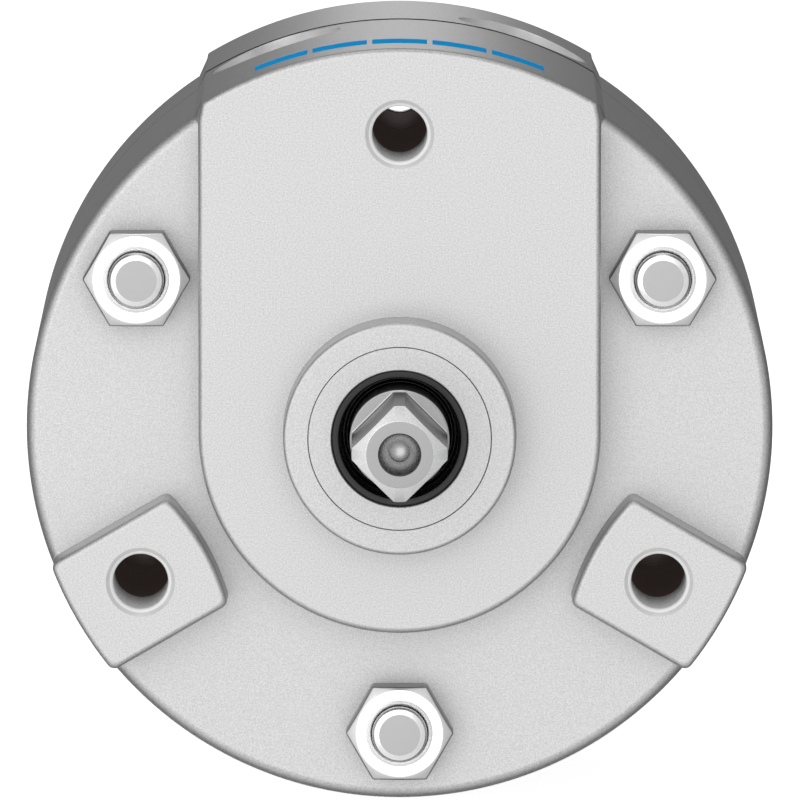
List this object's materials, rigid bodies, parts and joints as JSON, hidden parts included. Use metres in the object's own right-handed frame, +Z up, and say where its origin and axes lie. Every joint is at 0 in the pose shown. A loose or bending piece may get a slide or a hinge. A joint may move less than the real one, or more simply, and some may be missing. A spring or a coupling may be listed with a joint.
{
  "type": "pneumatic rotary vane cylinder",
  "caption": "Round two-part cast housing with two air ports on top; a single vane inside swings a double-ended shaft, with a milled square in front and a keyed output at the rear.",
  "frame": {"origin": "on the shaft's axis, in the plane of the rear mounting faces (the rear land and the two rear lugs)", "axes": "+Z up, through the port boss; +Y along the shaft towards the keyed output end; -Y towards the milled square end; +X to the right seen from the square end"},
  "size_m": [0.08, 0.1335, 0.0812],
  "materials": {
    "cast_aluminium": "fine blasted die casting",
    "machined_aluminium": "turned",
    "plated_steel": "bright zinc plated",
    "shaft_steel": "ground",
    "bearing_steel": "polished",
    "black_rubber": "moulded nitrile",
    "stop_rubber": "cast polyurethane",
    "vane_polymer": "moulded, glass filled"
  },
  "bodies": {
    "housing": {"front_housing": "cast_aluminium", "rear_housing": "cast_aluminium", "joint_seal": "black_rubber", "front_seal_cover": "machined_aluminium", "front_shaft_seal": "black_rubber", "rear_seal_cover": "machined_aluminium", "rear_shaft_seal": "black_rubber", "front_chamber_seal": "black_rubber", "rear_chamber_seal": "black_rubber", "front_bearing_outer_ring": "bearing_steel", "rear_bearing_outer_ring": "bearing_steel", "stator_block": "machined_aluminium", "stator_seal": "black_rubber", "left_stop_pad": "stop_rubber", "right_stop_pad": "stop_rubber", "stator_dowel_1": "bearing_steel", "stator_dowel_2": "bearing_steel", "tie_bolt_1": "plated_steel", "tie_bolt_2": "plated_steel", "tie_bolt_3": "plated_steel", "tie_nut_1": "plated_steel", "tie_nut_2": "plated_steel", "tie_nut_3": "plated_steel"},
    "rotor": {"shaft": "shaft_steel", "vane": "vane_polymer", "vane_seal": "black_rubber", "vane_key": "bearing_steel", "output_key": "bearing_steel", "front_bearing_inner_ring": "bearing_steel", "rear_bearing_inner_ring": "bearing_steel"},
    "front_cage": {"front_ball_cage": "bearing_steel"},
    "rear_cage": {"rear_ball_cage": "bearing_steel"}
  },
  "joints": [
    {"name": "shaft_swivel", "type": "hinge", "parent": "housing", "child": "rotor", "pos_m": [0, 0, 0], "axis": [0, 1, 0], "range_deg": [-135, 135]},
    {"name": "front_cage_roll", "type": "hinge", "parent": "housing", "child": "front_cage", "pos_m": [0, -0.067, 0], "axis": [0, 1, 0], "range_deg": [-58, 58]},
    {"name": "rear_cage_roll", "type": "hinge", "parent": "housing", "child": "rear_cage", "pos_m": [0, -0.0095, 0], "axis": [0, 1, 0], "range_deg": [-58, 58]}
  ],
  "couplings": [
    {"joint": "front_cage_roll", "follows": "shaft_swivel", "ratio": 0.427},
    {"joint": "rear_cage_roll", "follows": "shaft_swivel", "ratio": 0.427}
  ]
}
